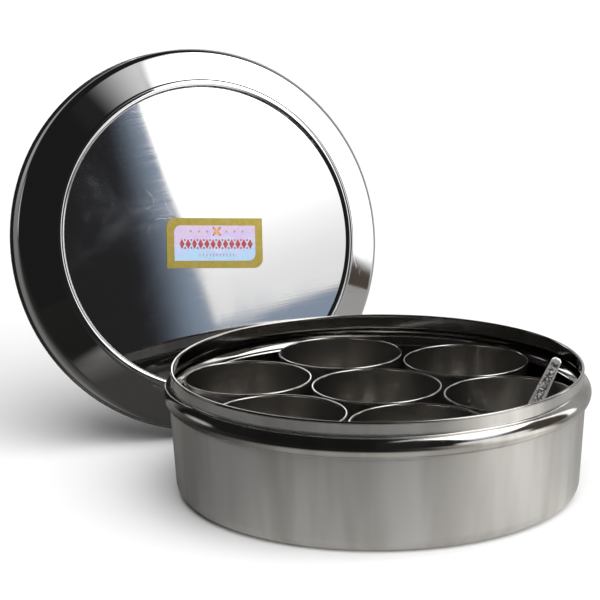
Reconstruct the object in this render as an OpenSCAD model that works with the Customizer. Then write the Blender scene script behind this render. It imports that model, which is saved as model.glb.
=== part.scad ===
/* [Box] */
// Outer diameter of the neck, which the lid slides over
neck_d = 199.6; // [150:0.2:260]
// Overall height of the open box
box_h = 62; // [45:0.5:90]
// Thickness of the sheet steel of the box and lid
sheet = 0.8; // [0.5:0.1:1.2]
// How much further out the wall stands than the neck
wall_step = 1; // [0:0.1:2]
// Lean of the wall, narrower towards the base, in degrees
wall_lean = 3.4; // [0:0.2:6]
// Radius of the corner between the wall and the base
corner_r = 7; // [4:0.5:10]
// Depth from the rim to the middle of the shoulder bead
bead_drop = 12; // [9:0.5:16]
// Radius of the shoulder bead's round outline
bead_r = 4.9; // [3.5:0.1:6.5]
// How far the shoulder bead stands out from the neck
bead_out = 3.8; // [3:0.1:4.5]
// Radius of the box's rolled rim
rim_r = 0.7; // [0.6:0.05:1]

/* [Lid] */
// Gap between the neck's rim and the lid's skirt
skirt_gap = 0.4; // [0.3:0.05:1]
// Height of the lid's flat middle above its open edge
lid_h = 22; // [18:0.5:32]
// Height of the straight part of the skirt
skirt_h = 11; // [9:0.5:13]
// Radius of the lid's rounded shoulder
shoulder_r = 5; // [2:0.5:6]
// Radius of the rolled hem along the lid's open edge
hem_r = 0.9; // [0.7:0.05:1.2]
// Width of the sloping border, from the skirt to the raised ring
border_w = 17.4; // [12:0.2:25]
// Width of the raised ring
ring_w = 4; // [3:0.2:6]
// Height of the raised ring above the flat middle
ring_h = 1; // [0.5:0.1:1.4]

/* [Label] */
// Width of the label
label_w = 54; // [30:1:60]
// Height of the label
label_h = 26.5; // [15:0.5:30]
// Thickness of the label
label_t = 0.3; // [0.2:0.05:0.5]
// Radius of the label's two round corners
label_corner = 5; // [2:0.5:6]
// Place of the label's middle, right and up from the lid's middle
label_at = [3, -3.7];
// Turn of the label on the lid, in degrees
label_turn = -5.5; // [-30:0.5:30]

/* [Bowls] */
// Thickness of the bowls' sheet steel
bowl_sheet = 0.6; // [0.4:0.1:0.8]
// Gap between two bowls' rims
bowl_gap = 2; // [1:0.1:4]
// Gap between the outer bowls' rims and the neck
wall_gap = 1.4; // [1:0.1:3]
// Depth from the box's rim to the bowls' rims
bowl_drop = 11; // [8:0.5:16]
// Lean of the bowls' walls, narrower towards the base, in degrees
bowl_lean = 1.5; // [0:0.1:4]
// Radius of the corner between a bowl's wall and its base
bowl_corner = 8; // [7:0.5:10]
// Radius of a bowl's rolled rim
bowl_rim_r = 0.55; // [0.4:0.05:0.8]
// Direction of the first outer bowl from the middle one, in degrees
bowl_turn = -13.6; // [-30:0.1:30]

/* [Spoon] */
// Length of the spoon
spoon_l = 69; // [55:1:85]
// Diameter of the spoon's dish
dish_d = 22; // [16:1:26]
// Depth of the spoon's dish
dish_depth = 4; // [3:0.5:6]
// Thickness of the spoon's steel
spoon_t = 1; // [0.8:0.1:1.4]
// Width of the handle beside the dish
handle_w = 8.6; // [6:0.2:10]
// Width of the handle at its free end
handle_end_w = 5; // [4:0.2:6]
// Width of the turned-up edges along the handle
flange_w = 0.9; // [0.7:0.1:1.2]
// Height of the turned-up edges along the handle
flange_h = 0.9; // [0.5:0.1:1.5]
// Tilt of the dish from the line of the handle, in degrees
dish_tilt = 12; // [0:1:20]

/* [Resting places] */
// Direction of the lid's foot from the box's middle, in degrees
lid_dir = 131.7; // [110:0.1:160]
// Gap between the shoulder bead and the foot of the standing lid
lid_gap = 26; // [24:0.5:60]
// Turn of the standing lid about the upright, in degrees
lid_turn = 25.6; // [0:0.2:45]
// Lean of the standing lid away from the box, in degrees
lid_tilt = 14.4; // [5:0.2:25]
// Direction in which the spoon leans on its bowl's rim, in degrees
spoon_dir = 47; // [40:1:90]
// How far the handle's middle line passes inside the bowl's rim
spoon_in = 2.9; // [2.9:0.1:5]
// Gap under the spoon's dish
spoon_clear = 0.4; // [0.3:0.1:1]
// Place of the dish's tip from the middle of its bowl
spoon_foot = [-6.3, 1.2];

/* [Hidden] */
$fn = 96;

steel = [0.72, 0.72, 0.72];
dark_steel = [0.5, 0.5, 0.52];
foil = [0.82, 0.72, 0.45];

// Middle line of the box's sheet
neck_mid = neck_d / 2 - sheet / 2;
wall_mid = neck_mid + wall_step;
bead_z = box_h - bead_drop;
bead_x = neck_mid + bead_out - bead_r;
bead_low_a = -acos((wall_mid - bead_x) / bead_r);
bead_high_a = acos((neck_mid - bead_x) / bead_r);
bead_low_z = bead_z + bead_r * sin(bead_low_a);
bead_high_z = bead_z + bead_r * sin(bead_high_a);
bead_outer = bead_x + bead_r + sheet / 2;
corner_z = corner_r;
corner_mid_r = corner_r - sheet / 2;
wall_low = [
    wall_mid - (bead_low_z - corner_z + corner_mid_r * sin(wall_lean)) * tan(wall_lean),
    corner_z - corner_mid_r * sin(wall_lean)
];
corner_x = wall_low[0] - corner_mid_r * cos(wall_lean);

// Middle line of the lid's sheet, with its open edge at the bottom
skirt_mid = neck_mid + rim_r + skirt_gap + sheet / 2;
hem_x = skirt_mid + hem_r - sheet / 2;
shoulder_mid_r = shoulder_r - sheet / 2;
shoulder = [skirt_mid - shoulder_mid_r, skirt_h];
ring_outer = skirt_mid - border_w;
ring_inner = ring_outer - ring_w;
disc_z = lid_h - sheet / 2;
ring_arc_r = (ring_w * ring_w / 4 + ring_h * ring_h) / (2 * ring_h);
ring_arc_a = asin(ring_w / 2 / ring_arc_r);
border_top = [ring_outer, disc_z];
border_run = border_top - shoulder;
border_a = atan2(border_run[1], border_run[0]) - acos(shoulder_mid_r / norm(border_run));
border_low = shoulder + shoulder_mid_r * [cos(border_a), sin(border_a)];

// Bowls: three rims, two gaps and two wall gaps make up the box's inner width
bowl_out = (neck_mid - rim_r - wall_gap - bowl_gap) / 3;
bowl_pitch = 2 * bowl_out + bowl_gap;
bowl_h = box_h - sheet - bowl_drop;
bowl_mid = bowl_out - bowl_rim_r;
bowl_corner_mid = bowl_corner - bowl_sheet / 2;
bowl_wall_low = [
    bowl_mid - (bowl_h - bowl_rim_r - bowl_corner) * tan(bowl_lean),
    bowl_corner - bowl_corner_mid * sin(bowl_lean)
];
bowl_corner_x = bowl_wall_low[0] - bowl_corner_mid * cos(bowl_lean);

// The spoon's bowl, and the line of its handle from its tip to the bowl's rim
spoon_bowl = bowl_pitch * [cos(bowl_turn), sin(bowl_turn)];
lean_r = bowl_mid - bowl_rim_r - spoon_in;
lean_run = lean_r * [cos(spoon_dir), sin(spoon_dir)] - spoon_foot;
lean_rise = bowl_h - bowl_sheet - spoon_clear - dish_d / 8;
spoon_lean = atan2(norm(lean_run), lean_rise);
spoon_turn = atan2(lean_run[1], lean_run[0]);
// Turn of the spoon's face about its handle
spoon_roll = -42;
// Start of the handle over the dish, and of its turned-up edges clear of it
handle_z = dish_d * cos(dish_tilt) - 2;
flange_z = handle_z + 4;
end_cut = 1.2;
// Raised lozenges on the handle's face
ornaments = 7;
ornament_r = 1.2;
ornament_step = 4.6;
ornament_h = 0.3;
dish_r = dish_d / 2;
dish_ball = (dish_r * dish_r + dish_depth * dish_depth) / (2 * dish_depth);
// Height of the leaning dish's middle, and of its edge's lowest point, above the handle's foot
dish_up = sin(spoon_lean) * sin(dish_tilt) * sin(spoon_roll) + cos(spoon_lean) * cos(dish_tilt);
dish_side = sin(spoon_lean) * cos(spoon_roll);
dish_along = cos(spoon_lean) * cos(dish_tilt) - sin(spoon_lean) * sin(dish_tilt) * sin(spoon_roll);
dish_low = dish_r * (dish_up - norm([dish_side, dish_along]));

// A straight stretch of sheet, t thick, from point p to point q
module strip(p, q, t) {
    side = [p[1] - q[1], q[0] - p[0]] / norm(q - p) * t / 2;
    polygon([p - side, q - side, q + side, p + side]);
}

// A round stretch of sheet, t thick, about point c from angle a to angle b
module bend(c, r, t, a, b) {
    reach = 2 * r;
    mid = (a + b) / 2;
    translate(c) intersection() {
        difference() {
            circle(r + t / 2);
            circle(r - t / 2);
        }
        polygon([
            [0, 0],
            reach * [cos(a), sin(a)],
            reach * [cos(mid), sin(mid)],
            reach * [cos(b), sin(b)]
        ]);
    }
}

// The deep-drawn box: base, corner, wall, shoulder bead, neck and rolled rim
module box() {
    color(steel) rotate_extrude() {
        strip([0, sheet / 2], [corner_x, sheet / 2], sheet);
        bend([corner_x, corner_z], corner_mid_r, sheet, -90, -wall_lean);
        strip(wall_low, [wall_mid, bead_low_z], sheet);
        bend([bead_x, bead_z], bead_r, sheet, bead_low_a, bead_high_a);
        strip([neck_mid, bead_high_z], [neck_mid, box_h - rim_r], sheet);
        translate([neck_mid, box_h - rim_r]) circle(rim_r);
    }
}

// The lid's pressed sheet, closed way up with its open edge at z = 0
module lid_shell() {
    rotate_extrude() {
        translate([hem_x, hem_r]) circle(hem_r);
        strip([skirt_mid, hem_r], [skirt_mid, skirt_h], sheet);
        bend(shoulder, shoulder_mid_r, sheet, 0, border_a);
        strip(border_low, border_top, sheet);
        bend([ring_outer - ring_w / 2, disc_z + ring_h - ring_arc_r], ring_arc_r, sheet,
             90 - ring_arc_a, 90 + ring_arc_a);
        strip([ring_inner, disc_z], [0, disc_z], sheet);
    }
}

// Stands the lid on its hem beside the box, leaning back
module stand_lid() {
    foot = bead_outer + lid_gap;
    translate([foot * cos(lid_dir), foot * sin(lid_dir), hem_r])
        rotate([0, 0, lid_turn])
            rotate([90 - lid_tilt, 0, 0])
                translate([0, hem_x, -hem_r])
                    children();
}

module lid() {
    color(steel) stand_lid() lid_shell();
}

// A quarter turn of points about c, from angle a
function quarter(c, a) = [for (t = [0 : 15 : 90]) c + label_corner * [cos(a + t), sin(a + t)]];

// A foil label with two round corners, flat on the lid's middle
module label() {
    x = label_w / 2;
    y = label_h / 2;
    in_x = x - label_corner;
    in_y = y - label_corner;
    color(foil) stand_lid()
        translate([label_at[0], label_at[1], lid_h])
            rotate([0, 0, label_turn])
                linear_extrude(label_t)
                    polygon(concat(
                        [[x, y]], quarter([-in_x, in_y], 90),
                        [[-x, -y]], quarter([in_x, -in_y], 270)
                    ));
}

// One spice bowl with its base's underside at z = 0
module bowl() {
    color(dark_steel) rotate_extrude() {
        strip([0, bowl_sheet / 2], [bowl_corner_x, bowl_sheet / 2], bowl_sheet);
        bend([bowl_corner_x, bowl_corner], bowl_corner_mid, bowl_sheet, -90, -bowl_lean);
        strip(bowl_wall_low, [bowl_mid, bowl_h - bowl_rim_r], bowl_sheet);
        translate([bowl_mid, bowl_h - bowl_rim_r]) circle(bowl_rim_r);
    }
}

// The bowl at place i of the six around the middle one
module outer_bowl(i) {
    a = bowl_turn + 60 * i;
    translate([bowl_pitch * cos(a), bowl_pitch * sin(a), sheet]) bowl();
}

module bowl_centre() {
    translate([0, 0, sheet]) bowl();
}
module bowl_right() { outer_bowl(0); }
module bowl_back_right() { outer_bowl(1); }
module bowl_back_left() { outer_bowl(2); }
module bowl_left() { outer_bowl(3); }
module bowl_front_left() { outer_bowl(4); }
module bowl_front_right() { outer_bowl(5); }

// The spoon's dish, hollow towards -y, meeting the handle's line at its upper end
module dish() {
    translate([0, dish_d * sin(dish_tilt), 0])
        rotate([dish_tilt, 0, 0])
            translate([0, dish_depth - dish_ball, dish_r])
                intersection() {
                    difference() {
                        sphere(dish_ball);
                        sphere(dish_ball - spoon_t);
                    }
                    rotate([-90, 0, 0])
                        translate([0, 0, dish_ball - dish_depth])
                            cylinder(r = dish_r, h = 2 * dish_depth);
                }
}

// An upright outline in x and z, from the handle's back and so deep towards its face
module on_handle(deep) {
    translate([0, spoon_t / 2, 0]) rotate([90, 0, 0]) linear_extrude(deep) children();
}

// The flat of the handle, tapering to its free end
module handle() {
    w = handle_w / 2;
    e = handle_end_w / 2;
    on_handle(spoon_t)
        polygon([
            [-w, handle_z], [w, handle_z], [e, spoon_l - end_cut], [e - end_cut, spoon_l],
            [end_cut - e, spoon_l], [-e, spoon_l - end_cut]
        ]);
}

// The turned-up edge along one side of the handle
module flange() {
    w = handle_w / 2;
    e = handle_end_w / 2;
    on_handle(spoon_t + flange_h)
        polygon([
            [w - flange_w, flange_z], [w, flange_z], [e, spoon_l - end_cut],
            [e - flange_w, spoon_l - end_cut]
        ]);
}

module spoon_shape() {
    dish();
    handle();
    flange();
    mirror([1, 0, 0]) flange();
    // A row of raised lozenges along the face
    for (i = [0 : ornaments - 1])
        translate([0, 0, spoon_l - 2 * end_cut - ornament_r - i * ornament_step])
            on_handle(spoon_t + ornament_h)
                polygon([[-ornament_r, 0], [0, -ornament_r], [ornament_r, 0], [0, ornament_r]]);
}

module spoon() {
    color(steel)
        translate([spoon_bowl[0] + spoon_foot[0], spoon_bowl[1] + spoon_foot[1],
                   sheet + bowl_sheet + spoon_clear - dish_low])
            rotate([0, spoon_lean, spoon_turn])
                rotate([0, 0, spoon_roll])
                    spoon_shape();
}

box();
lid();
label();
spoon();
bowl_centre();
bowl_right();
bowl_back_right();
bowl_back_left();
bowl_left();
bowl_front_left();
bowl_front_right();
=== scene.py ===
import math
import bmesh
import bpy
from mathutils import Matrix, Vector


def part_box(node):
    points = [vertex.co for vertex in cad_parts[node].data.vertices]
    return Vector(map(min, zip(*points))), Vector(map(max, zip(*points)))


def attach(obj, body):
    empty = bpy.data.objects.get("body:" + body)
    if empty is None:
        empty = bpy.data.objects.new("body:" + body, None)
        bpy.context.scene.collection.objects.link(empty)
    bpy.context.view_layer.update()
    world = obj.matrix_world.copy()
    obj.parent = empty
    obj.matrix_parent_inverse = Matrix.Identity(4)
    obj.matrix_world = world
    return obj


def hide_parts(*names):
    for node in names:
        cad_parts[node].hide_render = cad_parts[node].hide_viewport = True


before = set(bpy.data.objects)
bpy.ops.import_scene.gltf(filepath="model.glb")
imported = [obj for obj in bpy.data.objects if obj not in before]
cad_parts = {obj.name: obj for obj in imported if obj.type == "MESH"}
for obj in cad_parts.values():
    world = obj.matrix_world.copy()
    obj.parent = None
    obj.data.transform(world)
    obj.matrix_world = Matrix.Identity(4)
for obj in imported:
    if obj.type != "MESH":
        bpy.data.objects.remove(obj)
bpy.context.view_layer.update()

MM = 0.001

# ---------------------------------------------------------------------------
# Camera
# A long lens a little above the box looks down at it, with the standing lid
# at the upper left of the view.
# ---------------------------------------------------------------------------
camera_data = bpy.data.cameras.new("camera")
camera_data.sensor_width = 36
camera_data.lens = 125.97
camera_data.clip_end = 50


def placed(name, data):
    """A new object in the scene."""
    made = bpy.data.objects.new(name, data)
    bpy.context.scene.collection.objects.link(made)
    return made


def rotated(angle, axis):
    """A rotation about one of the frame's axes, in degrees."""
    return Matrix.Rotation(math.radians(angle), 4, axis)


camera = placed("camera", camera_data)
camera_at = Matrix.Translation((0, -0.98453, 0.32729))
look_left = rotated(2.137, "Z")
look_down = rotated(90 - 13.34, "X")
roll = rotated(-0.808, "Z")
camera.matrix_world = camera_at @ look_left @ look_down @ roll
bpy.context.scene.camera = camera
bpy.context.scene.view_settings.view_transform = "Standard"

# ---------------------------------------------------------------------------
# Box
# One deep-drawn pan of stainless steel sheet: flat base, round corner, satin
# wall, polished shoulder bead, brushed neck and a curled rim. It stands loose
# on the table.
# ---------------------------------------------------------------------------
neck_mid = 99.4 * MM
box_sheet = 0.8 * MM
wall_out = 1 * MM
wall_lean = 3.4
corner_mid = 6.6 * MM
bead_round = 4.9 * MM
bead_proud = 3.8 * MM
bead_drop = 12 * MM
bead_crease = 1.2 * MM
wall_top_drop = 4.4 * MM
rim_round = 0.7 * MM
box_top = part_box("box")[1].z
bead_mid = Vector((neck_mid + bead_proud - bead_round, box_top - bead_drop))


def bend(centre, radius, start, end):
    """One round stretch of a sheet's middle line, between two angles in degrees."""
    return (Vector(centre), radius, start, end)


def beside(bends, aside):
    """Points along a sheet, aside from its middle line; straight stretches join the bends."""
    arc_step = 7
    points = []
    for centre, radius, start, end in bends:
        reach = radius + (aside if end > start else -aside)
        count = max(3, round(abs(end - start) / arc_step))
        for step in range(count + 1):
            angle = math.radians(start + (end - start) * step / count)
            points.append(centre + reach * Vector((math.cos(angle), math.sin(angle))))
    return points


def crease(on_line, line_angle, ball, ball_radius, radius, below):
    """Fillet between a straight wall and a bead: its centre, and its angles at the two."""
    along = Vector((math.cos(math.radians(line_angle)), math.sin(math.radians(line_angle))))
    outward = Vector((along.y, -along.x))
    start = on_line + outward * radius - ball
    half = start.dot(along)
    root = math.sqrt(half * half - start.dot(start) + (ball_radius + radius) ** 2)
    centre = ball + start + along * (-half - root if below else -half + root)
    to_wall = math.degrees(math.atan2(-outward.y, -outward.x)) % 360
    to_ball = math.degrees(math.atan2(ball.y - centre.y, ball.x - centre.x)) % 360
    return centre, to_wall, to_ball


def spun(name, outline, steps):
    """A closed body of revolution about Z, from an outline of radius and height.

    Its map "sheet" runs along the outline and round the axis, and "flat" lies across the axis.
    """
    mesh = bmesh.new()
    along = mesh.verts.layers.float.new("along")
    wires = []
    last = None
    travelled = 0.0
    for point in outline:
        vert = mesh.verts.new((max(point.x, 0.0), 0, point.y))
        if last:
            travelled += (vert.co - last.co).length
            wires.append(mesh.edges.new((last, vert)))
        vert[along] = travelled
        last = vert
    bmesh.ops.spin(
        mesh, geom=mesh.verts[:] + wires, cent=(0, 0, 0), axis=(0, 0, 1),
        angle=math.tau, steps=steps, use_merge=True,
    )
    bmesh.ops.remove_doubles(mesh, verts=mesh.verts, dist=1e-6)
    bmesh.ops.recalc_face_normals(mesh, faces=mesh.faces)
    sheet_map = mesh.loops.layers.uv.new("sheet")
    flat_map = mesh.loops.layers.uv.new("flat")
    for face in mesh.faces:
        middle = face.calc_center_median()
        middle_turn = math.atan2(middle.y, middle.x)
        for loop in face.loops:
            spot = loop.vert.co
            turn = math.atan2(spot.y, spot.x) if spot.xy.length > 1e-5 else middle_turn
            turn += math.tau * round((middle_turn - turn) / math.tau)
            loop[sheet_map].uv = (loop.vert[along], turn / math.tau)
            loop[flat_map].uv = (spot.x, spot.y)
        face.smooth = True
    return mesh


def finished(name, mesh, material, body, replaces):
    """Makes the mesh an object that rides on a body and may stand for a plain node of the frame."""
    data = bpy.data.meshes.new(name)
    mesh.to_mesh(data)
    mesh.free()
    data.materials.append(material)
    piece = placed(name, data)
    even = piece.modifiers.new("even_shading", "WEIGHTED_NORMAL")
    even.keep_sharp = True
    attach(piece, body)
    if replaces:
        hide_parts(replaces)
    return piece


def sheet_outline(bends, thickness, rim_centre, rim_radius, join):
    """Both faces of a sheet that ends in a rolled rim, from the axis outwards and back."""
    rim = beside([bend(rim_centre, rim_radius, -join, 180 + join)], 0)
    return beside(bends, thickness / 2) + rim + beside(bends, -thickness / 2)[::-1]


def length(points):
    """Length of a line through points."""
    return sum((second - first).length for first, second in zip(points, points[1:]))


def node(tree, kind, settings=None, **values):
    """A shader node; values name its sockets, and a socket given as a value is linked."""
    made = tree.nodes.new(kind)
    for key, value in (settings or {}).items():
        setattr(made, key, value)
    for key, value in values.items():
        spot = made.inputs[int(key[2:])] if key.startswith("in") else made.inputs[key.replace("_", " ")]
        if isinstance(value, bpy.types.NodeSocket):
            tree.links.new(value, spot)
        else:
            spot.default_value = value
    return made


def maths(tree, operation, *values):
    """The result of a sum on one to three values."""
    sockets = {f"in{index}": value for index, value in enumerate(values)}
    return node(tree, "ShaderNodeMath", {"operation": operation}, **sockets).outputs[0]


def between(tree, value, low, high, first=0.0, last=1.0):
    """A smooth change from first to last while a value goes from low to high."""
    return node(
        tree, "ShaderNodeMapRange", {"interpolation_type": "SMOOTHSTEP"},
        Value=value, From_Min=low, From_Max=high, To_Min=first, To_Max=last,
    ).outputs["Result"]


def noise(tree, place, scale, **values):
    """Soft noise over a place."""
    return node(tree, "ShaderNodeTexNoise", Vector=place, Scale=scale, **values).outputs[0]


def xyz(tree, vector):
    """The three parts of a vector."""
    return node(tree, "ShaderNodeSeparateXYZ", Vector=vector).outputs


def with_height(tree, parts, height):
    """A place made of the first two parts of another, and a new height."""
    return node(tree, "ShaderNodeCombineXYZ", X=parts[0], Y=parts[1], Z=height).outputs[0]


def own_map(tree, name):
    """The place on one of the piece's own UV maps."""
    return node(tree, "ShaderNodeUVMap", {"uv_map": name}).outputs[0]


def mixed(tree, share, first, second):
    """A colour between two: the first where the share is 0, the second where it is 1."""
    settings = {"data_type": "RGBA"}
    return node(tree, "ShaderNodeMix", settings, Factor=share, A=first, B=second).outputs["Result"]


def relief(tree, shader, height):
    """Gives the surface a relief, from its height in metres."""
    bump = node(tree, "ShaderNodeBump", Height=height, Distance=1.0)
    tree.links.new(bump.outputs[0], shader.inputs["Normal"])


def group(name, inputs, outputs):
    """An empty node group, its input node and its output node."""
    tree = bpy.data.node_groups.new(name, "ShaderNodeTree")
    for key, kind, start in inputs:
        spot = tree.interface.new_socket(key, in_out="INPUT", socket_type=kind)
        if start is not None:
            spot.default_value = start
    for key in outputs:
        tree.interface.new_socket(key, in_out="OUTPUT", socket_type="NodeSocketFloat")
    return tree, tree.nodes.new("NodeGroupInput").outputs, tree.nodes.new("NodeGroupOutput")


# Fine lines left by the polishing wheel, running along x and y of Place and packed along z.
wheel_lines, given, result = group(
    "wheel_lines",
    [
        ("Place", "NodeSocketVector", None),
        ("Along", "NodeSocketFloat", 12.0),
        ("Across", "NodeSocketFloat", 2500.0),
    ],
    ["Lines"],
)
stretch = node(wheel_lines, "ShaderNodeCombineXYZ", X=given["Along"], Y=given["Along"], Z=given["Across"])
stretched = node(
    wheel_lines, "ShaderNodeVectorMath", {"operation": "MULTIPLY"},
    in0=given["Place"], in1=stretch.outputs[0],
)
fine = noise(wheel_lines, stretched.outputs[0], 1.0, Detail=3.0, Roughness=0.65)
wheel_lines.links.new(maths(wheel_lines, "SUBTRACT", fine, 0.5), result.inputs["Lines"])

# Wear from handling: soft greasy haze, and a few hairline scratches.
handling, given, result = group(
    "handling",
    [("Place", "NodeSocketVector", None), ("Spread", "NodeSocketFloat", 22.0)],
    ["Haze", "Scratches"],
)
place, spread = given["Place"], given["Spread"]
cloud = noise(handling, place, spread, Detail=5.0, Roughness=0.62, Distortion=0.6)
handling.links.new(between(handling, cloud, 0.48, 0.72), result.inputs["Haze"])
hair_scale = maths(handling, "MULTIPLY", spread, 3.5)
hair = noise(handling, place, hair_scale, Detail=1.0, Roughness=0.3, Distortion=2.2)
off_line = maths(handling, "ABSOLUTE", maths(handling, "SUBTRACT", hair, 0.5))
thin = between(handling, off_line, 0.0, 0.006, 1.0, 0.0)
where = noise(handling, place, maths(handling, "MULTIPLY", spread, 2.3), Detail=2.0)
scratches = maths(handling, "MULTIPLY", thin, between(handling, where, 0.56, 0.66))
handling.links.new(scratches, result.inputs["Scratches"])


def use(tree, shared, **values):
    """A shared group placed in a material."""
    made = tree.nodes.new("ShaderNodeGroup")
    made.node_tree = shared
    for key, value in values.items():
        if isinstance(value, bpy.types.NodeSocket):
            tree.links.new(value, made.inputs[key])
        else:
            made.inputs[key].default_value = value
    return made.outputs


def metal(name, colour=None, anisotropic=0.0, metallic=1.0):
    """A metal material: the material, its node tree and its shader."""
    material = bpy.data.materials.new(name)
    material.use_nodes = True
    tree = material.node_tree
    shader = tree.nodes["Principled BSDF"]
    shader.inputs["Metallic"].default_value = metallic
    shader.inputs["Anisotropic"].default_value = anisotropic
    if colour:
        shader.inputs["Base Color"].default_value = colour
    if anisotropic:
        tangent = node(tree, "ShaderNodeTangent", {"direction_type": "UV_MAP", "uv_map": "sheet"})
        tree.links.new(tangent.outputs[0], shader.inputs["Tangent"])
    return material, tree, shader


wall_line = Vector((neck_mid + wall_out, bead_mid.y - wall_top_drop))
low = crease(wall_line, 90 - wall_lean, bead_mid, bead_round, bead_crease, True)
high = crease(Vector((neck_mid, bead_mid.y)), 90, bead_mid, bead_round, bead_crease, False)
lean = math.radians(wall_lean)
corner_z = corner_mid + box_sheet / 2
wall_foot = wall_line.x - (wall_line.y - corner_z + corner_mid * math.sin(lean)) * math.tan(lean)
corner = Vector((wall_foot - corner_mid * math.cos(lean), corner_z))
box_bends = [
    bend((0, box_sheet / 2), 0, -90, -89),
    bend(corner, corner_mid, -90, -wall_lean),
    bend(low[0], bead_crease, low[1], low[2]),
    bend(bead_mid, bead_round, low[2] - 180, high[2] - 180),
    bend(high[0], bead_crease, high[2], high[1]),
]

# Satin outside wall, brushed neck; polished bead, rim and inside.
satin_steel, tree, shader = metal("satin_steel", anisotropic=0.55)
spot = node(tree, "ShaderNodeTexCoord").outputs["Object"]
spot_xyz = xyz(tree, spot)
sheet_run = xyz(tree, own_map(tree, "sheet"))[0]
wall_end = length(beside(box_bends[:3], box_sheet / 2))
wall_start = corner.x
neck_start = length(beside(box_bends, box_sheet / 2))
rim_start = neck_start + box_top - rim_round - box_bends[-1][0].y
satin = maths(
    tree, "MULTIPLY",
    between(tree, sheet_run, wall_start, wall_start + 0.006),
    between(tree, sheet_run, wall_end - 0.0012, wall_end + 0.0006, 1.0, 0.0),
)
neck = maths(
    tree, "MULTIPLY",
    between(tree, sheet_run, neck_start - 0.001, neck_start + 0.0015),
    between(tree, sheet_run, rim_start - 0.001, rim_start, 1.0, 0.0),
)
# Where the sheet was only brushed it scatters light like a matt skin.
brushed = maths(tree, "MAXIMUM", satin, neck)
tree.links.new(maths(tree, "MULTIPLY_ADD", brushed, -0.24, 1.0), shader.inputs["Metallic"])
around = with_height(tree, spot_xyz, sheet_run)
lines = use(tree, wheel_lines, Place=around, Along=14.0, Across=2600.0)
marks = use(tree, handling, Place=spot, Spread=16.0)
# The drawn wall is never quite round: soft upright bands in its relief and roughness, and painted reflection
# bands in its colour.
upright = with_height(tree, spot_xyz, maths(tree, "MULTIPLY", spot_xyz[2], 0.12))
bands = noise(tree, upright, 38.0, Detail=3.0, Roughness=0.55)
rough = maths(tree, "MULTIPLY_ADD", satin, 0.3, 0.1)
rough = maths(tree, "MULTIPLY_ADD", neck, 0.22, rough)
rough = maths(tree, "MULTIPLY_ADD", marks["Haze"], 0.05, rough)
rough = maths(tree, "MULTIPLY_ADD", lines["Lines"], maths(tree, "MULTIPLY_ADD", satin, 0.16, 0.03), rough)
rough = maths(tree, "MULTIPLY_ADD", bands, maths(tree, "MULTIPLY", satin, 0.12), rough)
tree.links.new(rough, shader.inputs["Roughness"])
height = maths(tree, "MULTIPLY", lines["Lines"], maths(tree, "MULTIPLY_ADD", satin, 1.2e-5, 1.5e-6))
height = maths(tree, "MULTIPLY_ADD", bands, maths(tree, "MULTIPLY_ADD", satin, 4e-4, 5e-5), height)
height = maths(tree, "MULTIPLY_ADD", marks["Scratches"], -4e-6, height)
relief(tree, shader, height)
# Painted reflection: the upright bands lighten and darken the wall's colour, as the room's reflection would.
banded_reflection_tint = mixed(tree, between(tree, bands, 0.36, 0.64), (0.54, 0.525, 0.495, 1), (0.7, 0.69, 0.67, 1))
tree.links.new(banded_reflection_tint, shader.inputs["Base Color"])

join = math.degrees(math.acos(box_sheet / 2 / rim_round))
rim_at = Vector((neck_mid, box_top - rim_round))
box_mesh = spun("box", sheet_outline(box_bends, box_sheet, rim_at, rim_round, join), 256)
finished("spice_box", box_mesh, satin_steel, "box", "box")

# ---------------------------------------------------------------------------
# Lid
# One pressed sheet of stainless steel, mirror polished: flat middle, raised
# ring, sloping border, round shoulder, and a skirt with a rolled hem that
# slides over the box's neck. It stands on its hem behind the box.
# ---------------------------------------------------------------------------
lid_height = 22 * MM
lid_clearance = 0.4 * MM
skirt_mid = neck_mid + rim_round + lid_clearance + box_sheet / 2
skirt_height = 11 * MM
shoulder_mid = 4.6 * MM
hem_round = 0.9 * MM
border_wide = 17.4 * MM
ring_out = skirt_mid - border_wide
ring_half = 2 * MM
ring_rise = 1 * MM
lid_turn = 25.6
lid_tilt = 14.4
lid_foot_from = 131.7
lid_foot_gap = 26 * MM
lid_foot_reach = bead_mid.x + bead_round + box_sheet / 2 + lid_foot_gap

disc_mid = lid_height - box_sheet / 2
shoulder = Vector((skirt_mid - shoulder_mid, skirt_height))
to_ring = Vector((ring_out, disc_mid)) - shoulder
border_angle = math.degrees(math.atan2(to_ring.y, to_ring.x) - math.acos(shoulder_mid / to_ring.length))
ring_round = (ring_half ** 2 + ring_rise ** 2) / (2 * ring_rise)
ring_angle = math.degrees(math.asin(ring_half / ring_round))
ring_at = (ring_out - ring_half, disc_mid + ring_rise - ring_round)
lid_bends = [
    bend(shoulder, shoulder_mid, 0, border_angle),
    bend(ring_at, ring_round, 90 - ring_angle, 90 + ring_angle),
    bend((0, disc_mid), 0, 89, 90),
]
hem_at = Vector((skirt_mid + hem_round - box_sheet / 2, hem_round))
hem_join = math.degrees(math.acos((hem_round - box_sheet) / hem_round))
hem = beside([bend(hem_at, hem_round, 180, 450 + 90 - hem_join)], 0)
lid_outline = beside(lid_bends, -box_sheet / 2)[::-1] + hem + beside(lid_bends, box_sheet / 2)
lid_mesh = spun("lid", lid_outline, 256)

foot_angle = math.radians(lid_foot_from)
lid_foot = lid_foot_reach * Vector((math.cos(foot_angle), math.sin(foot_angle), 0))
lid_place = (
    Matrix.Translation(lid_foot + Vector((0, 0, hem_round)))
    @ rotated(lid_turn, "Z")
    @ rotated(90 - lid_tilt, "X")
    @ Matrix.Translation((0, hem_at.x, -hem_round))
)
bmesh.ops.transform(lid_mesh, matrix=lid_place, verts=lid_mesh.verts)

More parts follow.
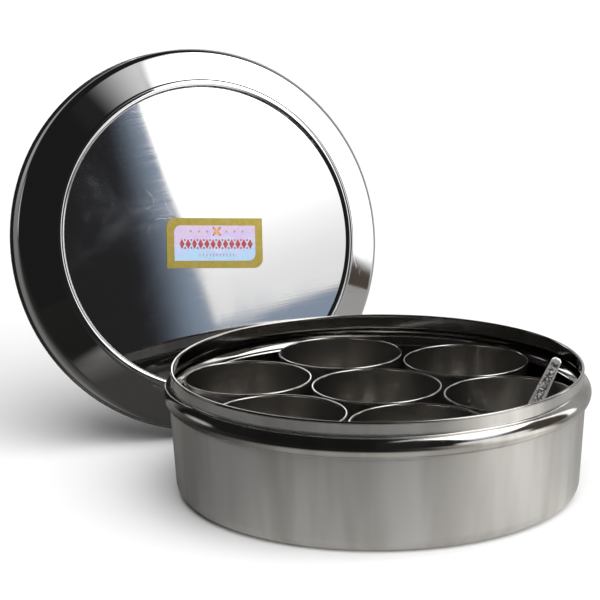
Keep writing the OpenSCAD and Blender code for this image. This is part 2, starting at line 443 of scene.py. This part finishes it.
# Mirror polish with faint straight lines from the buffing wheel and a little haze.
polished_steel, tree, shader = metal("polished_steel", (0.83, 0.83, 0.83, 1))
flat = own_map(tree, "flat")
turned = node(tree, "ShaderNodeMapping", Vector=flat, Rotation=(0, 0, math.radians(-4)))
flat_xyz = xyz(tree, turned.outputs[0])
buffed = node(tree, "ShaderNodeCombineXYZ", X=flat_xyz[0], Z=flat_xyz[1]).outputs[0]
lines = use(tree, wheel_lines, Place=buffed, Along=22.0, Across=1500.0)
marks = use(tree, handling, Place=flat, Spread=14.0)
rough = maths(tree, "MULTIPLY_ADD", marks["Haze"], 0.07, 0.04)
rough = maths(tree, "MULTIPLY_ADD", lines["Lines"], 0.1, rough)
tree.links.new(rough, shader.inputs["Roughness"])
waves = noise(tree, flat, 14.0, Detail=2.0, Roughness=0.4)
height = maths(tree, "MULTIPLY_ADD", waves, 6e-5, maths(tree, "MULTIPLY", lines["Lines"], 2.4e-6))
height = maths(tree, "MULTIPLY_ADD", marks["Scratches"], -3e-6, height)
relief(tree, shader, height)
finished("spice_box_lid", lid_mesh, polished_steel, "lid", "lid")

# ---------------------------------------------------------------------------
# Bowls
# Seven loose bowls of thin polished steel with rolled rims: one in the
# middle and six round it, standing on the box's base.
# ---------------------------------------------------------------------------
bowl_sheet = 0.6 * MM
bowl_rim = 0.55 * MM
bowl_lean = 1.5
bowl_corner = 7.7 * MM

# Polished steel with soft upright streaks, and rings from the polishing wheel.
bowl_steel, tree, shader = metal("bowl_steel", (0.68, 0.66, 0.63, 1), 0.75, 0.994)
spot = node(tree, "ShaderNodeTexCoord").outputs["Object"]
spot_xyz = xyz(tree, spot)
sheet_run = xyz(tree, own_map(tree, "sheet"))[0]
around = with_height(tree, spot_xyz, sheet_run)
lines = use(tree, wheel_lines, Place=around, Along=25.0, Across=2200.0)
marks = use(tree, handling, Place=spot, Spread=30.0)
upright = with_height(tree, spot_xyz, maths(tree, "MULTIPLY", spot_xyz[2], 0.06))
bands = noise(tree, upright, 150.0, Detail=3.0, Roughness=0.6)
rough = maths(tree, "MULTIPLY_ADD", lines["Lines"], 0.08, 0.18)
rough = maths(tree, "MULTIPLY_ADD", marks["Haze"], 0.05, rough)
tree.links.new(rough, shader.inputs["Roughness"])
height = maths(tree, "MULTIPLY_ADD", bands, 6e-5, maths(tree, "MULTIPLY", lines["Lines"], 4e-6))
relief(tree, shader, height)

bowl_join = math.degrees(math.acos(bowl_sheet / 2 / bowl_rim))
lean = math.radians(bowl_lean)
corner_z = bowl_corner + bowl_sheet / 2
for name in sorted(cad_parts):
    if not name.startswith("bowl"):
        continue
    corner_low, corner_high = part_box(name)
    height = corner_high.z - corner_low.z
    bowl_mid = (corner_high.x - corner_low.x) / 2 - bowl_rim
    foot = bowl_mid - (height - bowl_rim - corner_z) * math.tan(lean)
    bends = [
        bend((0, bowl_sheet / 2), 0, -90, -89),
        bend((foot - bowl_corner * math.cos(lean), corner_z), bowl_corner, -90, -bowl_lean),
        bend((bowl_mid, height - bowl_rim), 0, 0, 1),
    ]
    rim_at = Vector((bowl_mid, height - bowl_rim))
    bowl_mesh = spun(name, sheet_outline(bends, bowl_sheet, rim_at, bowl_rim, bowl_join), 128)
    middle = (corner_low + corner_high) / 2
    bmesh.ops.translate(bowl_mesh, vec=(middle.x, middle.y, corner_low.z), verts=bowl_mesh.verts)
    finished(name + "_spun", bowl_mesh, bowl_steel, name, name)

# ---------------------------------------------------------------------------
# Spoon
# A pressed steel spoon: a shallow round dish, and a channel handle with
# turned-up edges, a row of lozenges and an engraved ground. It stands loose
# in the right bowl.
# ---------------------------------------------------------------------------
spoon_long = 69 * MM
spoon_sheet = 1 * MM
spoon_foot = Vector((57.393, -14.209, 4.556)) * MM
spoon_lean = 34.276
spoon_turn = 37.131
spoon_roll = -42
dish_radius = 11 * MM
dish_depth = 4 * MM
dish_tilt = math.radians(12)
dish_ball = (dish_radius ** 2 + dish_depth ** 2) / (2 * dish_depth)
handle_low = 19.52 * MM
edge_low = 23.6 * MM
handle_half = 4.3 * MM
handle_end_half = 2.5 * MM
end_cut = 1.2 * MM
edge_wide = 0.9 * MM
edge_high = 0.88 * MM
corner_ease = 0.18 * MM
lip_wide = 0.25 * MM
lip_in = 0.2 * MM
lozenges = 7
lozenge_pitch = 4.6 * MM
lozenge_from_end = 1.2 * MM
lozenge_foot = 1.15 * MM
lozenge_top = 0.6 * MM
lozenge_sunk = 0.05 * MM
lozenge_rise = 0.28 * MM

rim_z = dish_ball - dish_depth
outer_edge = math.degrees(math.asin(rim_z / dish_ball))
inner_ball = dish_ball - spoon_sheet
inner_edge = math.degrees(math.asin(rim_z / inner_ball))
dish_outline = (
    beside([bend((0, 0), inner_ball, 89.9, inner_edge + 0.8)], 0)
    + [Vector((inner_ball * math.cos(math.radians(inner_edge)) + lip_wide, rim_z))]
    + [Vector((dish_radius - lip_in, rim_z))]
    + beside([bend((0, 0), dish_ball, outer_edge + 0.9, 89.9)], 0)
)
dish_outline = [Vector((0, dish_outline[0].y))] + dish_outline[1:-1] + [Vector((0, dish_outline[-1].y))]
spoon_mesh = spun("spoon", dish_outline, 96)
dish_place = (
    Matrix.Translation((0, 2 * dish_radius * math.sin(dish_tilt), 0))
    @ Matrix.Rotation(dish_tilt, 4, "X")
    @ Matrix.Translation((0, -rim_z, dish_radius))
    @ rotated(-90, "X")
)
bmesh.ops.transform(spoon_mesh, matrix=dish_place, verts=spoon_mesh.verts)


def channel(half, rise):
    """The handle's section: a flat back with an edge turned up at each side, its corners eased."""
    back, front, inside = spoon_sheet / 2, -spoon_sheet / 2, half - edge_wide
    corners = [
        Vector(point) for point in (
            (-half, back), (half, back), (half, front - rise), (inside, front - rise),
            (inside, front), (-inside, front), (-inside, front - rise), (-half, front - rise),
        )
    ]
    eased = []
    for before, corner, after in zip(corners[-1:] + corners[:-1], corners, corners[1:] + corners[:1]):
        for other in (before, after):
            reach = min(corner_ease, (other - corner).length * 0.4)
            eased.append(corner + (other - corner).normalized() * reach)
    return eased


def ring(mesh, points):
    """A closed loop of edges through points."""
    verts = [mesh.verts.new(point) for point in points]
    return [mesh.edges.new(pair) for pair in zip(verts, verts[1:] + verts[:1])]


def lofted(mesh, outlines):
    """The faces of a closed solid through outlines that have the same number of points."""
    loops = [ring(mesh, outline) for outline in outlines]
    faces = []
    for low, high in zip(loops, loops[1:]):
        faces += bmesh.ops.bridge_loops(mesh, edges=low + high)["faces"]
    for end in (loops[0], loops[-1]):
        faces += bmesh.ops.edgeloop_fill(mesh, edges=end)["faces"]
    return faces


# Height along the handle, and the share of their full height that the edges have there.
stations = [
    (handle_low, 0.02), (edge_low, 0.02), (edge_low + 0.8 * MM, 0.5), (edge_low + 2 * MM, 1),
    (36 * MM, 1), (46 * MM, 1), (56 * MM, 1), (spoon_long - end_cut - 0.5 * MM, 1),
    (spoon_long - end_cut, 0.02), (spoon_long, 0.02),
]
sections = []
for height, share in stations:
    along_handle = (height - handle_low) / (spoon_long - end_cut - handle_low)
    half = handle_half + (handle_end_half - handle_half) * min(along_handle, 1)
    if height == spoon_long:
        half -= end_cut
    sections.append([(point.x, point.y, height) for point in channel(half, edge_high * share)])
handle_faces = lofted(spoon_mesh, sections)
for count in range(lozenges):
    height = spoon_long - 2 * end_cut - lozenge_from_end - count * lozenge_pitch
    handle_faces += lofted(spoon_mesh, [
        [(across * reach, depth, height + up * reach) for across, up in ((-1, 0), (0, -1), (1, 0), (0, 1))]
        for reach, depth in (
            (lozenge_foot, -spoon_sheet / 2 + lozenge_sunk),
            (lozenge_top, -spoon_sheet / 2 - lozenge_rise),
        )
    ])
bmesh.ops.recalc_face_normals(spoon_mesh, faces=spoon_mesh.faces)
flat_map = spoon_mesh.loops.layers.uv["flat"]
for face in handle_faces:
    face.smooth = True
    for loop in face.loops:
        loop[flat_map].uv = (loop.vert.co.x, loop.vert.co.z)
spoon_place = (
    Matrix.Translation(spoon_foot)
    @ rotated(spoon_turn, "Z")
    @ rotated(spoon_lean, "Y")
    @ rotated(spoon_roll, "Z")
)
bmesh.ops.transform(spoon_mesh, matrix=spoon_place, verts=spoon_mesh.verts)
end_faces = [face for face in spoon_mesh.faces if len(face.verts) > 4]
bmesh.ops.triangulate(spoon_mesh, faces=end_faces)

# Bright pressed steel, its ground engraved between the handle's edges, with painted shade darkening the
# grooves.
spoon_steel, tree, shader = metal("spoon_steel", metallic=0.7)
spot = node(tree, "ShaderNodeTexCoord").outputs["Object"]
flat = own_map(tree, "flat")
flat_xyz = xyz(tree, flat)
lines = use(tree, wheel_lines, Place=spot, Along=60.0, Across=2400.0)
marks = use(tree, handling, Place=spot, Spread=60.0)
twisted = node(tree, "ShaderNodeTexNoise", Vector=flat, Scale=420.0, Detail=1.0).outputs["Color"]
scrolled = node(
    tree, "ShaderNodeVectorMath", {"operation": "MULTIPLY_ADD"},
    in0=twisted, in1=Vector((0.003, 0.003, 0)), in2=flat,
).outputs[0]
cells = node(tree, "ShaderNodeTexVoronoi", {"feature": "DISTANCE_TO_EDGE"}, Vector=scrolled, Scale=520.0)
grooves = between(tree, cells.outputs["Distance"], 0.06, 0.2, 1.0, 0.0)
inside = between(tree, maths(tree, "ABSOLUTE", flat_xyz[0]), 1.5 * MM, 2.1 * MM, 1.0, 0.0)
engraved = maths(tree, "MULTIPLY", inside, between(tree, flat_xyz[1], 27 * MM, 28 * MM))
engraved = maths(tree, "MULTIPLY", engraved, between(tree, flat_xyz[1], 65.5 * MM, 66.5 * MM, 1.0, 0.0))
grooves = maths(tree, "MULTIPLY", grooves, engraved)
# Painted shade: the engraved grooves are darkened in colour where their shade would fall.
groove_shade_share = maths(tree, "MULTIPLY", grooves, 0.85)
tone = mixed(tree, groove_shade_share, (0.8, 0.79, 0.77, 1), (0.06, 0.055, 0.05, 1))
tree.links.new(tone, shader.inputs["Base Color"])
rough = maths(tree, "MULTIPLY_ADD", lines["Lines"], 0.1, 0.24)
rough = maths(tree, "MULTIPLY_ADD", marks["Haze"], 0.08, rough)
tree.links.new(rough, shader.inputs["Roughness"])
height = maths(tree, "MULTIPLY_ADD", grooves, -1.2e-4, maths(tree, "MULTIPLY", lines["Lines"], 4e-6))
relief(tree, shader, height)
finished("spoon_pressed", spoon_mesh, spoon_steel, "spoon", "spoon")

# ---------------------------------------------------------------------------
# Label
# A foil sticker on the lid's disc: a gold frame round a pale shimmering panel
# with a rosette, a band of red lozenges and fainter prints. It is glued on.
# ---------------------------------------------------------------------------
label_wide = 54 * MM
label_high = 26.5 * MM
label_round = 5 * MM
label_frame = 4.2 * MM
foil_top = 0.25 * MM
panel_top = 0.275 * MM
print_top = 0.295 * MM
sunk = 0.02 * MM
label_place = lid_place @ Matrix.Translation((3 * MM, -3.7 * MM, lid_height)) @ rotated(-5.5, "Z")


def leaf(half_wide, half_high, radius):
    """A rectangle with its top left and bottom right corners rounded."""
    middle_x, middle_y = half_wide - radius, half_high - radius
    points = [Vector((half_wide, half_high))]
    points += beside([bend((-middle_x, middle_y), radius, 90, 180)], 0)
    points.append(Vector((-half_wide, -half_high)))
    return points + beside([bend((middle_x, -middle_y), radius, 270, 360)], 0)


def rounded(x, y, radius_x, radius_y, sides):
    """A disc, an oval or a lozenge, in millimetres."""
    turns = [math.tau * step / sides for step in range(sides)]
    return [Vector((x + radius_x * math.cos(turn), y + radius_y * math.sin(turn))) * MM for turn in turns]


def sticker(name, outlines, low, high, material, replaces=None):
    """Flat pieces of the label between two heights over the disc."""
    mesh = bmesh.new()
    flat_map = mesh.loops.layers.uv.new("flat")
    for outline in outlines:
        lofted(mesh, [[(point.x, point.y, height) for point in outline] for height in (low, high)])
    for face in mesh.faces:
        for loop in face.loops:
            loop[flat_map].uv = loop.vert.co.xy
    bmesh.ops.transform(mesh, matrix=label_place, verts=mesh.verts)
    bmesh.ops.recalc_face_normals(mesh, faces=mesh.faces)
    return finished(name, mesh, material, "lid", replaces)


# Gold foil, faintly pressed and rubbed.
gold_foil, tree, shader = metal("gold_foil", metallic=0.7)
flat = own_map(tree, "flat")
marks = use(tree, handling, Place=flat, Spread=90.0)
swirl = noise(tree, flat, 260.0, Detail=3.0, Distortion=1.2)
tone = mixed(tree, between(tree, swirl, 0.35, 0.65), (0.45, 0.36, 0.06, 1), (0.5, 0.38, 0.11, 1))
tree.links.new(tone, shader.inputs["Base Color"])
tree.links.new(maths(tree, "MULTIPLY_ADD", marks["Haze"], 0.12, 0.3), shader.inputs["Roughness"])
relief(tree, shader, maths(tree, "MULTIPLY", swirl, 2e-5))
sticker("label_frame", [leaf(label_wide / 2, label_high / 2, label_round)], 0, foil_top, gold_foil, "label")

# The panel shimmers from lilac at the top to pale blue at the bottom.
pale_foil, tree, shader = metal("pale_foil", metallic=0.15)
flat = own_map(tree, "flat")
flat_xyz = xyz(tree, flat)
marks = use(tree, handling, Place=flat, Spread=90.0)
cloud = noise(tree, flat, 110.0, Detail=2.0)


def ramp(tree, value, stops):
    """A colour that goes through stops, each a position from 0 to 1 and a colour."""
    made = node(tree, "ShaderNodeValToRGB", Fac=value)
    elements = made.color_ramp.elements
    while len(elements) < len(stops):
        elements.new(0.5)
    for element, (position, colour) in zip(elements, stops):
        element.position = position
        element.color = (*colour, 1)
    return made.outputs[0]


shimmer = ramp(tree, maths(tree, "MULTIPLY_ADD", flat_xyz[1], 48.0, cloud), [
    (0.1, (0.46, 0.68, 0.88)),
    (0.35, (0.52, 0.62, 0.9)),
    (0.5, (0.62, 0.66, 0.84)),
    (0.68, (0.66, 0.52, 0.8)),
    (0.9, (0.7, 0.56, 0.72)),
])
tree.links.new(shimmer, shader.inputs["Base Color"])
tree.links.new(maths(tree, "MULTIPLY_ADD", marks["Haze"], 0.1, 0.26), shader.inputs["Roughness"])
grain = noise(tree, flat, 2600.0, Detail=1.0)
relief(tree, shader, maths(tree, "MULTIPLY", grain, 4e-6))
panel = leaf(label_wide / 2 - label_frame, label_high / 2 - label_frame * 0.93, label_round * 0.75)
sticker("label_panel", [panel], foil_top - sunk, panel_top, pale_foil)


def ink(name, colour):
    """Printed ink, slightly uneven and worn."""
    material, tree, shader = metal(name, metallic=0.0)
    shader.inputs["Roughness"].default_value = 0.4
    worn = noise(tree, own_map(tree, "flat"), 900.0, Detail=2.0)
    faded = between(tree, worn, 0.5, 0.75, 0.0, 0.5)
    tree.links.new(mixed(tree, faded, (*colour, 1), (0.6, 0.5, 0.6, 1)), shader.inputs["Base Color"])
    relief(tree, shader, maths(tree, "MULTIPLY", worn, 6e-6))
    return material


def printed(name, outlines, material):
    """One print on the panel."""
    sticker(name, outlines, panel_top - sunk, print_top, material)


band_pitch = 3.5
band_y = -0.5
rosette_x = 1.1
rosette_y = 6.2
band = [rounded(-18.6 + band_pitch * count, band_y, 1.5, 2.7, 4) for count in range(12)]
band += [
    rounded(-16.85 + band_pitch * count, band_y + side, 0.55, 0.55, 10)
    for count in range(11) for side in (-2.1, 2.1)
]
band += [
    rounded(rosette_x + x, rosette_y + y, 0.5, 0.5, 10)
    for x in (-1.9, 1.9) for y in (-1.9, 1.9)
]
printed("label_band", band, ink("red_ink", (0.42, 0.05, 0.04)))
petals = [
    rounded(rosette_x + x, rosette_y + y, 0.85, 0.85, 16)
    for x in (-1.05, 1.05) for y in (-1.05, 1.05)
]
petals.append(rounded(rosette_x, rosette_y, 0.6, 0.6, 16))
printed("label_rosette", petals, ink("orange_ink", (0.72, 0.34, 0.06)))
faint = [
    rounded(rosette_x + side * (5.4 + 4.6 * count), rosette_y, 0.6, 0.6, 10)
    for side in (-1, 1) for count in range(3)
]
printed("label_dots", faint, ink("lilac_ink", (0.36, 0.27, 0.45)))
small = [rounded(-8.6 + 1.9 * count, -6.3, 0.55, 1.1, 4) for count in range(11)]
printed("label_line", small, ink("grey_ink", (0.35, 0.42, 0.52)))

# ---------------------------------------------------------------------------
# Studio
# A pale floor, an overhead sun for soft even light, and a dark room with one
# large soft window of light at the right, which the polished steel mirrors.
# ---------------------------------------------------------------------------
floor_mesh = bmesh.new()
bmesh.ops.create_grid(floor_mesh, x_segments=1, y_segments=1, size=30)


def staged(name, mesh):
    """A surface of the studio, which isn't part of the object."""
    data = bpy.data.meshes.new(name)
    mesh.to_mesh(data)
    mesh.free()
    surface = placed(name, data)
    return surface


floor = staged("floor", floor_mesh)
floor_material = bpy.data.materials.new("floor")
floor_material.use_nodes = True
tree = floor_material.node_tree
pale = tree.nodes["Principled BSDF"]
pale.inputs["Base Color"].default_value = (0.9, 0.9, 0.9, 1)
pale.inputs["Roughness"].default_value = 1
pale.inputs["Specular IOR Level"].default_value = 0
# In the steel the floor shows a painted grey glow, brighter at the right, which it gives off only into
# reflections: one brightness close to the box, another further out. Each row has a direction from the box,
# in degrees, and the brightness there.
floor_place = node(tree, "ShaderNodeTexCoord").outputs["Object"]
floor_spot = xyz(tree, floor_place)
facing = maths(tree, "ARCTAN2", floor_spot[0], maths(tree, "MULTIPLY", floor_spot[1], -1.0))
around_box = maths(tree, "MULTIPLY_ADD", facing, 1 / math.tau, 0.5)
away = node(tree, "ShaderNodeVectorMath", {"operation": "LENGTH"}, in0=floor_place).outputs["Value"]
near_light = [
    (-180, 0.25), (-155, 0.12), (-135, 0.04), (-105, 0.05), (-78, 0.05), (-55, 0.13), (-35, 0.36),
    (0, 0.42), (22, 0.52), (45, 0.66), (66, 0.9), (85, 0.55), (110, 0.4), (140, 0.3), (180, 0.25),
]
far_light = [
    (-180, 0.45), (-155, 0.38), (-138, 0.2), (-123, 0.17), (-110, 0.11), (-85, 0.025), (-40, 0.014),
    (5, 0.016), (22, 0.05), (38, 0.5), (55, 1.3), (75, 1.3), (90, 0.2), (110, 0.36), (135, 0.38),
    (155, 0.42), (180, 0.45),
]


def by_direction(lights):
    """A painted grey glow, slightly warm, that changes with the direction from the box."""
    return ramp(tree, around_box, [
        (angle / 360 + 0.5, (light, light * 0.975, light * 0.94)) for angle, light in lights
    ])


# Painted light: the floor gives off this grey only into reflections, darker close to the box as if in its
# shade; the camera sees the floor plain and pale.
floor_light = mixed(tree, between(tree, away, 0.14, 0.2), by_direction(near_light), by_direction(far_light))
painted_floor_glow = node(tree, "ShaderNodeEmission", Color=floor_light)
is_mirrored = node(tree, "ShaderNodeLightPath").outputs["Is Glossy Ray"]
choose = node(tree, "ShaderNodeMixShader", in0=is_mirrored, in1=pale.outputs[0], in2=painted_floor_glow.outputs[0])
tree.links.new(choose.outputs[0], tree.nodes["Material Output"].inputs["Surface"])
floor.data.materials.append(floor_material)

# The softbox: an upright panel at the right that only the steel sees.
panel_reach = 0.5
panel_turn = math.radians(75)
panel_out = Vector((math.sin(panel_turn), -math.cos(panel_turn), 0))
panel_side = Vector((math.cos(panel_turn), math.sin(panel_turn), 0))
panel_mesh = bmesh.new()
corners = [
    panel_mesh.verts.new(panel_reach * panel_out + side * panel_side + Vector((0, 0, up)))
    for side, up in ((-2.0, 0.0), (0.5, 0.0), (0.5, 2.8), (-2.0, 2.8))
]
panel_mesh.faces.new(corners)
softbox = staged("softbox", panel_mesh)
softbox.visible_camera = False
softbox.visible_diffuse = False
softbox.visible_shadow = False
panel_material = bpy.data.materials.new("softbox")
panel_material.use_nodes = True
tree = panel_material.node_tree
tree.nodes.clear()
panel_place = node(tree, "ShaderNodeTexCoord").outputs["Object"]
up = xyz(tree, panel_place)[2]


def dot(tree, vector, direction):
    """How far a vector reaches in a direction."""
    settings = {"operation": "DOT_PRODUCT"}
    return node(tree, "ShaderNodeVectorMath", settings, in0=vector, in1=direction).outputs["Value"]


side = dot(tree, panel_place, panel_side)


def past(along, rising, low, high, first=0.0, last=1.0):
    """A smooth step across a slanted line on the panel."""
    return between(tree, maths(tree, "MULTIPLY_ADD", up, rising, along), low, high, first, last)


# The white window: its front edge leans forward beside a grey band, its sill slopes, and it dims at the top.
slant = maths(tree, "MULTIPLY", maths(tree, "MINIMUM", up, 0.5), 0.124)
white = between(tree, maths(tree, "ADD", side, slant), -0.2415, -0.232)
grey_end = maths(tree, "SUBTRACT", -0.2365, slant)
grey_start = maths(tree, "MINIMUM", maths(tree, "SUBTRACT", grey_end, 0.03), -0.33)
grey = maths(tree, "POWER", between(tree, side, grey_start, grey_end), 1.3)
sill = maths(
    tree, "MULTIPLY",
    past(up, 0.0, 0.2145, 0.2225),
    past(maths(tree, "MULTIPLY", side, -0.76), 1.0, 0.322, 0.332),
)
white = maths(tree, "MULTIPLY", maths(tree, "MULTIPLY", white, sill), past(up, 0.0, 0.23, 0.46, 0.88, 2.6))
white = maths(tree, "MINIMUM", white, past(up, 0.0, 1.5, 1.8, 2.6, 0.5))
# Light high above, a bright strip low down, and a second window at the back.
high = maths(tree, "POWER", past(side, 0.0, -1.5, -0.1), 1.6)
high = maths(tree, "MULTIPLY", high, past(up, 0.0, 1.55, 1.8, 0.0, 0.8))
strip = maths(
    tree, "MULTIPLY",
    maths(tree, "MULTIPLY", past(side, 0.0, -0.42, -0.32), past(side, 0.0, -0.02, 0.05, 1.0, 0.0)),
    past(up, 0.0, 0.13, 0.175, 1.2, 0.0),
)
behind = maths(tree, "MULTIPLY", past(side, 0.0, 0.325, 0.345), past(up, 0.0, 0.02, 0.08, 0.8, 1.5))
total = maths(tree, "MAXIMUM", maths(tree, "MAXIMUM", white, strip), maths(tree, "MAXIMUM", behind, high))
# The rest is dark: bluish grey by the window, warm black beyond it.
shade = mixed(tree, grey, (0.018, 0.018, 0.019, 1), (0.25, 0.31, 0.4, 1))
dim = mixed(tree, past(side, 0.0, -0.16, 0.0), shade, (0.075, 0.06, 0.048, 1))
bright = node(tree, "ShaderNodeVectorMath", {"operation": "MAXIMUM"}, in0=dim, in1=total)
glow = node(tree, "ShaderNodeEmission", Color=bright.outputs[0])
node(tree, "ShaderNodeOutputMaterial", Surface=glow.outputs[0])
softbox.data.materials.append(panel_material)

# The overhead sun, which the steel doesn't mirror.
sun_data = bpy.data.lights.new("overhead", "SUN")
sun_data.energy = 4.0
sun_data.angle = math.radians(80)
sun = placed("overhead", sun_data)
sun.rotation_euler = (math.radians(28), 0, math.radians(40))
sun.visible_glossy = False

world = bpy.data.worlds.new("studio")
bpy.context.scene.world = world
world.use_nodes = True
tree = world.node_tree
tree.nodes.clear()
direction = node(tree, "ShaderNodeTexCoord").outputs["Generated"]


def towards(turn, rise):
    """Unit direction from the box, turned right from the front, and raised, in degrees."""
    turn, rise = math.radians(turn), math.radians(rise)
    return Vector((math.sin(turn) * math.cos(rise), -math.cos(turn) * math.cos(rise), math.sin(rise)))


def around_point(turn, rise, inner, outer, light):
    """A soft round glow about a direction, full inside one angle and gone outside another."""
    near = dot(tree, direction, towards(turn, rise))
    return between(tree, near, math.cos(math.radians(outer)), math.cos(math.radians(inner)), 0.0, light)


# Three soft glows in a dark room; the camera itself sees a pale wall instead.
left_glow = around_point(-108, 6, 4, 15, 0.5)
back_glow = around_point(-166, -2, 14, 42, 0.3)
back_fill = around_point(150, 10, 10, 50, 0.36)
fill = maths(tree, "ADD", maths(tree, "ADD", left_glow, back_glow), back_fill)
surround = node(tree, "ShaderNodeBackground", Color=maths(tree, "ADD", fill, 0.012))
backdrop = node(tree, "ShaderNodeBackground", Color=(0.93, 0.93, 0.93, 1))
seen = node(tree, "ShaderNodeLightPath").outputs["Is Camera Ray"]
either = node(tree, "ShaderNodeMixShader", in0=seen, in1=surround.outputs[0], in2=backdrop.outputs[0])
node(tree, "ShaderNodeOutputWorld", Surface=either.outputs[0])
